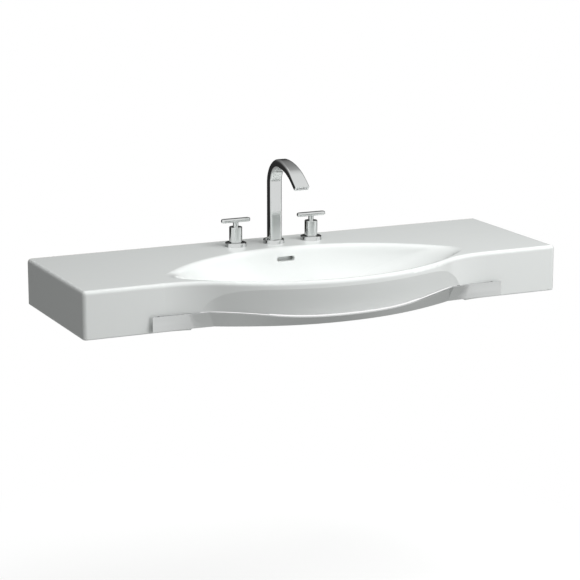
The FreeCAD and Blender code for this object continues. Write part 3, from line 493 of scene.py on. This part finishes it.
def stage_material(settings):
    """Pale floor: it is brighter to the camera and to metal, white at its edge, and keeps shadows."""
    g = Graph("pale_floor")
    rays = g.add("ShaderNodeLightPath").outputs
    seen = rays["Is Camera Ray"]
    reach = g.add("ShaderNodeVectorMath", {0: g.place}, operation="LENGTH").outputs["Value"]
    fade_start = settings.floor_radius * FADE_START_SHARE
    fade_end = settings.floor_radius * FADE_END_SHARE
    edge = g.add("ShaderNodeMapRange", {"Value": reach, "From Min": fade_start, "From Max": fade_end},
                 interpolation_type="SMOOTHSTEP").outputs["Result"]
    base = g.add("ShaderNodeBsdfDiffuse", {"Color": tuple(settings.floor_colour) + (1.0,)})
    shine = g.add("ShaderNodeMath", {0: rays["Is Glossy Ray"], 1: FLOOR_SHINE},
                  operation="MULTIPLY").outputs[0]
    glow = g.add("ShaderNodeMath", {0: seen, 1: FLOOR_LIFT, 2: shine},
                 operation="MULTIPLY_ADD").outputs[0]
    lift = g.add("ShaderNodeEmission", {"Strength": glow})
    lit = g.add("ShaderNodeAddShader")
    g.tree.links.new(base.outputs[0], lit.inputs[0])
    g.tree.links.new(lift.outputs[0], lit.inputs[1])
    white = g.add("ShaderNodeEmission", {"Strength": 1.0})
    fade = g.add("ShaderNodeMath", {0: edge, 1: seen}, operation="MULTIPLY").outputs[0]
    both = g.add("ShaderNodeMixShader", {0: fade})
    g.tree.links.new(lit.outputs[0], both.inputs[1])
    g.tree.links.new(white.outputs[0], both.inputs[2])
    g.tree.links.new(both.outputs[0], g.output.inputs["Surface"])
    return g.material


def make_floor(settings):
    form = bmesh.new()
    bmesh.ops.create_circle(form, cap_ends=True, segments=FLOOR_SEGMENTS, radius=settings.floor_radius)
    mesh = bpy.data.meshes.new("floor")
    form.to_mesh(mesh)
    form.free()
    floor = bpy.data.objects.new("floor", mesh)
    floor.location.z = -settings.floor_drop
    mesh.materials.append(stage_material(settings))
    bpy.context.scene.collection.objects.link(floor)


def back_of(azimuth, elevation):
    """Direction from the object to a lamp or camera, from its angles in degrees."""
    azimuth, elevation = math.radians(azimuth), math.radians(elevation)
    return Vector((math.sin(azimuth) * math.cos(elevation), -math.cos(azimuth) * math.cos(elevation),
                   math.sin(elevation)))


def make_lamp(name, azimuth, elevation, power, settings):
    """Square lamp aimed at the bowl; metal shows the world in its place."""
    data = bpy.data.lights.new(name, "AREA")
    data.shape = "SQUARE"
    data.size = settings.lamp_size
    data.energy = power
    back = back_of(azimuth, elevation)
    lamp = bpy.data.objects.new(name, data)
    lamp.location = Vector(LAMP_AIM) + back * settings.lamp_distance
    lamp.rotation_mode = "QUATERNION"
    lamp.rotation_quaternion = back.to_track_quat("Z", "Y")
    lamp.visible_glossy = False
    bpy.context.scene.collection.objects.link(lamp)


def ramp(tree, value, stops):
    """Grey levels at places along a value."""
    node = tree.nodes.new("ShaderNodeValToRGB")
    elements = node.color_ramp.elements
    while len(elements) < len(stops):
        elements.new(1.0)
    for element, (place, level) in zip(elements, stops):
        element.position = place
        element.color = (level, level, level, 1.0)
    tree.links.new(value, node.inputs["Fac"])
    return node.outputs["Color"]


def make_world():
    """White to the camera, a soft studio to everything else: bright in front and above, dark behind."""
    world = bpy.data.worlds.new("studio")
    world.use_nodes = True
    tree = world.node_tree
    tree.nodes.clear()
    link = tree.links.new

    def math_node(kind, a, b):
        node = tree.nodes.new("ShaderNodeMath")
        node.operation = kind
        for socket, value in zip(node.inputs, (a, b)):
            if isinstance(value, bpy.types.NodeSocket):
                link(value, socket)
            else:
                socket.default_value = value
        return node.outputs[0]

    def mix(share, low, high):
        node = tree.nodes.new("ShaderNodeMix")
        node.data_type = "RGBA"
        link(share, node.inputs["Factor"])
        link(low, node.inputs[6])
        link(high, node.inputs[7])
        return node.outputs[2]

    direction = tree.nodes.new("ShaderNodeTexCoord").outputs["Generated"]
    parts = tree.nodes.new("ShaderNodeSeparateXYZ")
    link(direction, parts.inputs["Vector"])
    height = math_node("MULTIPLY_ADD", parts.outputs["Z"], 0.5)
    height.node.inputs[2].default_value = 0.5
    across = math_node("MULTIPLY", parts.outputs["X"], FRONT_X)
    facing = math_node("MULTIPLY_ADD", parts.outputs["Y"], FRONT_Y)
    link(across, facing.node.inputs[2])
    front = math_node("MULTIPLY_ADD", facing, 0.5)
    front.node.inputs[2].default_value = 0.5

    shine = mix(ramp(tree, front, BACK_TO_FRONT), ramp(tree, height, SHINE_BACK),
                ramp(tree, height, SHINE_FRONT))
    soft = ramp(tree, height, SOFT_LIGHT)

    rays = tree.nodes.new("ShaderNodeLightPath")
    seen = tree.nodes.new("ShaderNodeRGB")
    seen.outputs[0].default_value = (1.0, 1.0, 1.0, 1.0)
    other = mix(rays.outputs["Is Glossy Ray"], soft, shine)
    colour = mix(rays.outputs["Is Camera Ray"], other, seen.outputs[0])
    background = tree.nodes.new("ShaderNodeBackground")
    link(colour, background.inputs["Color"])
    out = tree.nodes.new("ShaderNodeOutputWorld")
    link(background.outputs[0], out.inputs["Surface"])
    bpy.context.scene.world = world


def make_camera(settings):
    data = bpy.data.cameras.new("photo_camera")
    data.lens = settings.lens
    data.sensor_width = SENSOR_WIDTH
    data.clip_end = FAR_CLIP
    camera = bpy.data.objects.new("photo_camera", data)
    camera.location = CAMERA_PLACE
    camera.rotation_mode = "QUATERNION"
    camera.rotation_quaternion = back_of(CAMERA_AZIMUTH, CAMERA_ELEVATION).to_track_quat("Z", "Y")
    bpy.context.scene.collection.objects.link(camera)
    bpy.context.scene.camera = camera


class WASHBASIN_OT_stage(bpy.types.Operator):
    """Make the floor, the lamps, the world and the camera"""
    bl_idname = "washbasin.stage"
    bl_label = "Stage"

    def execute(self, context):
        settings = context.scene.washbasin.stage
        context.scene.view_settings.view_transform = "Standard"
        make_floor(settings)
        for name, azimuth, elevation in LAMPS:
            make_lamp(name + "_lamp", azimuth, elevation, getattr(settings, name + "_power"), settings)
        make_world()
        make_camera(settings)
        return {"FINISHED"}


class WASHBASIN_PT_panel(bpy.types.Panel):
    """Lists the operators and their settings"""
    bl_idname = "WASHBASIN_PT_panel"
    bl_label = "Washbasin"
    bl_space_type = "VIEW_3D"
    bl_region_type = "UI"
    bl_category = "Washbasin"

    def draw(self, context):
        for operator in OPERATORS:
            self.layout.operator(operator.bl_idname)
        settings = context.scene.washbasin
        for group in (settings.ceramic, settings.metal, settings.soft, settings.stage):
            box = self.layout.box()
            for name in group.bl_rna.properties.keys():
                if name not in ("rna_type", "name"):
                    box.prop(group, name)


OPERATORS = (WASHBASIN_OT_ceramic, WASHBASIN_OT_towel_rail, WASHBASIN_OT_handles, WASHBASIN_OT_spout,
             WASHBASIN_OT_waste, WASHBASIN_OT_threads, WASHBASIN_OT_stage)
CLASSES = (CeramicSettings, MetalSettings, SoftSettings, StageSettings, WashbasinSettings) + OPERATORS + (
    WASHBASIN_PT_panel,)


def register():
    for cls in CLASSES:
        bpy.utils.register_class(cls)
    bpy.types.Scene.washbasin = PointerProperty(type=WashbasinSettings)


def unregister():
    del bpy.types.Scene.washbasin
    for cls in reversed(CLASSES):
        bpy.utils.unregister_class(cls)


def main():
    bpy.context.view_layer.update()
    register()
    for operator in OPERATORS:
        group, name = operator.bl_idname.split(".")
        getattr(getattr(bpy.ops, group), name)()


if __name__ == "__main__":
    main()
